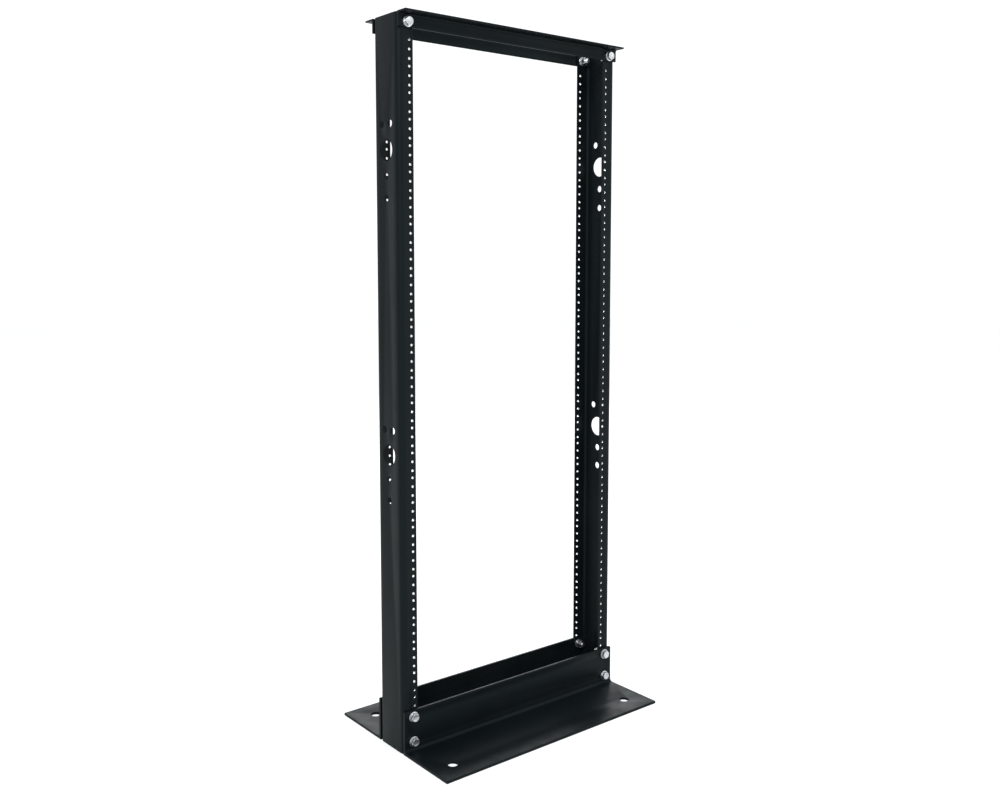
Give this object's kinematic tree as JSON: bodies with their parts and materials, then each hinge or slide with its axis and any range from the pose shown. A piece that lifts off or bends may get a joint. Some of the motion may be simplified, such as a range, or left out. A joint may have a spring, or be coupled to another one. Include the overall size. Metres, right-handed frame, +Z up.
{
  "type": "two-post equipment rack",
  "caption": "Open two-post floor rack for 19-inch equipment: two bent channel uprights with equipment holes, joined by top angles and drilled floor angles.",
  "frame": {"origin": "on the floor, in the middle of the footprint", "axes": "+X along the width, +Y from the front of the rack to its back, +Z up"},
  "size_m": [0.5144, 0.343, 1.3017],
  "materials": {
    "frame_paint": "semi-gloss black powder coat",
    "zinc_plate": "bright zinc plate"
  },
  "bodies": {
    "root": {"base_angle_back": "frame_paint", "base_angle_front": "frame_paint", "base_back_left_bolt": "zinc_plate", "base_back_left_head_washer": "zinc_plate", "base_back_left_lock_washer": "zinc_plate", "base_back_left_nut": "zinc_plate", "base_back_left_nut_washer": "zinc_plate", "base_back_right_bolt": "zinc_plate", "base_back_right_head_washer": "zinc_plate", "base_back_right_lock_washer": "zinc_plate", "base_back_right_nut": "zinc_plate", "base_back_right_nut_washer": "zinc_plate", "base_front_left_bolt": "zinc_plate", "base_front_left_head_washer": "zinc_plate", "base_front_left_lock_washer": "zinc_plate", "base_front_left_nut": "zinc_plate", "base_front_left_nut_washer": "zinc_plate", "base_front_right_bolt": "zinc_plate", "base_front_right_head_washer": "zinc_plate", "base_front_right_lock_washer": "zinc_plate", "base_front_right_nut": "zinc_plate", "base_front_right_nut_washer": "zinc_plate", "top_angle_back": "frame_paint", "top_angle_front": "frame_paint", "top_back_left_bolt": "zinc_plate", "top_back_left_head_washer": "zinc_plate", "top_back_left_lock_washer": "zinc_plate", "top_back_left_nut": "zinc_plate", "top_back_left_nut_washer": "zinc_plate", "top_back_right_bolt": "zinc_plate", "top_back_right_head_washer": "zinc_plate", "top_back_right_lock_washer": "zinc_plate", "top_back_right_nut": "zinc_plate", "top_back_right_nut_washer": "zinc_plate", "top_front_left_bolt": "zinc_plate", "top_front_left_head_washer": "zinc_plate", "top_front_left_lock_washer": "zinc_plate", "top_front_left_nut": "zinc_plate", "top_front_left_nut_washer": "zinc_plate", "top_front_right_bolt": "zinc_plate", "top_front_right_head_washer": "zinc_plate", "top_front_right_lock_washer": "zinc_plate", "top_front_right_nut": "zinc_plate", "top_front_right_nut_washer": "zinc_plate", "upright_left": "frame_paint", "upright_right": "frame_paint"}
  },
  "joints": []
}
